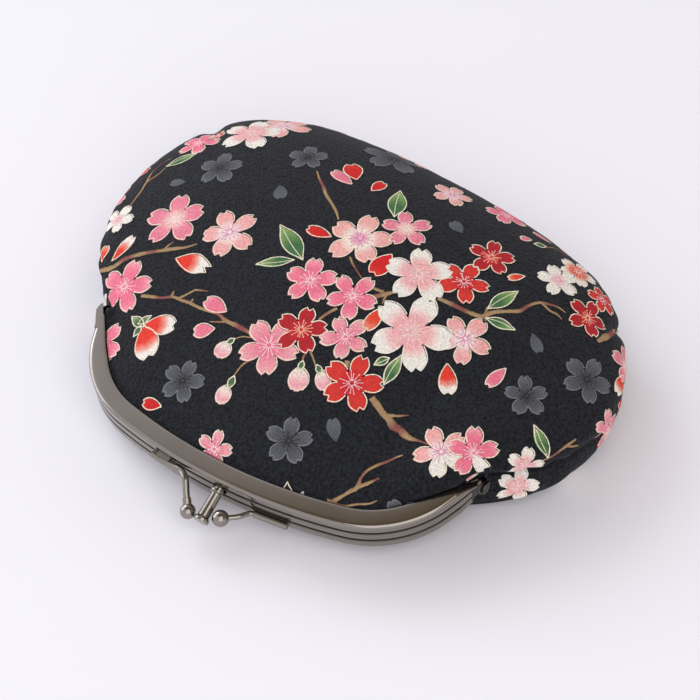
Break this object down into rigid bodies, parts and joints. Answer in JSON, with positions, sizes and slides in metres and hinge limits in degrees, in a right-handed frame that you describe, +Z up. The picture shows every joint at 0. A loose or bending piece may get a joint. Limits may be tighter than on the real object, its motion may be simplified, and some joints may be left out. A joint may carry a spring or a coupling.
{
  "type": "double-compartment kiss lock coin purse",
  "caption": "Kiss lock coin purse of blossom-printed crepe, divided inside, on an arched gunmetal frame with a post and ball clasp, lying closed on its back panel.",
  "frame": {"origin": "on the resting surface, under the middle of the bounding box", "axes": "+X along the frame's hinge line, -Y towards the clasp, +Z up from the surface that the purse lies on"},
  "size_m": [0.16, 0.1334, 0.0381],
  "materials": {
    "gunmetal": "black nickel plate, polished",
    "printed_crepe": "matt crepe, charcoal ground with printed blossoms",
    "divider_cloth": "plain matt cloth"
  },
  "bodies": {
    "root": {"front_jaw": "gunmetal", "middle_jaw": "gunmetal", "back_jaw": "gunmetal", "left_rivet": "gunmetal", "right_rivet": "gunmetal", "front_panel": "printed_crepe", "back_panel": "printed_crepe", "divider": "divider_cloth"}
  },
  "joints": []
}
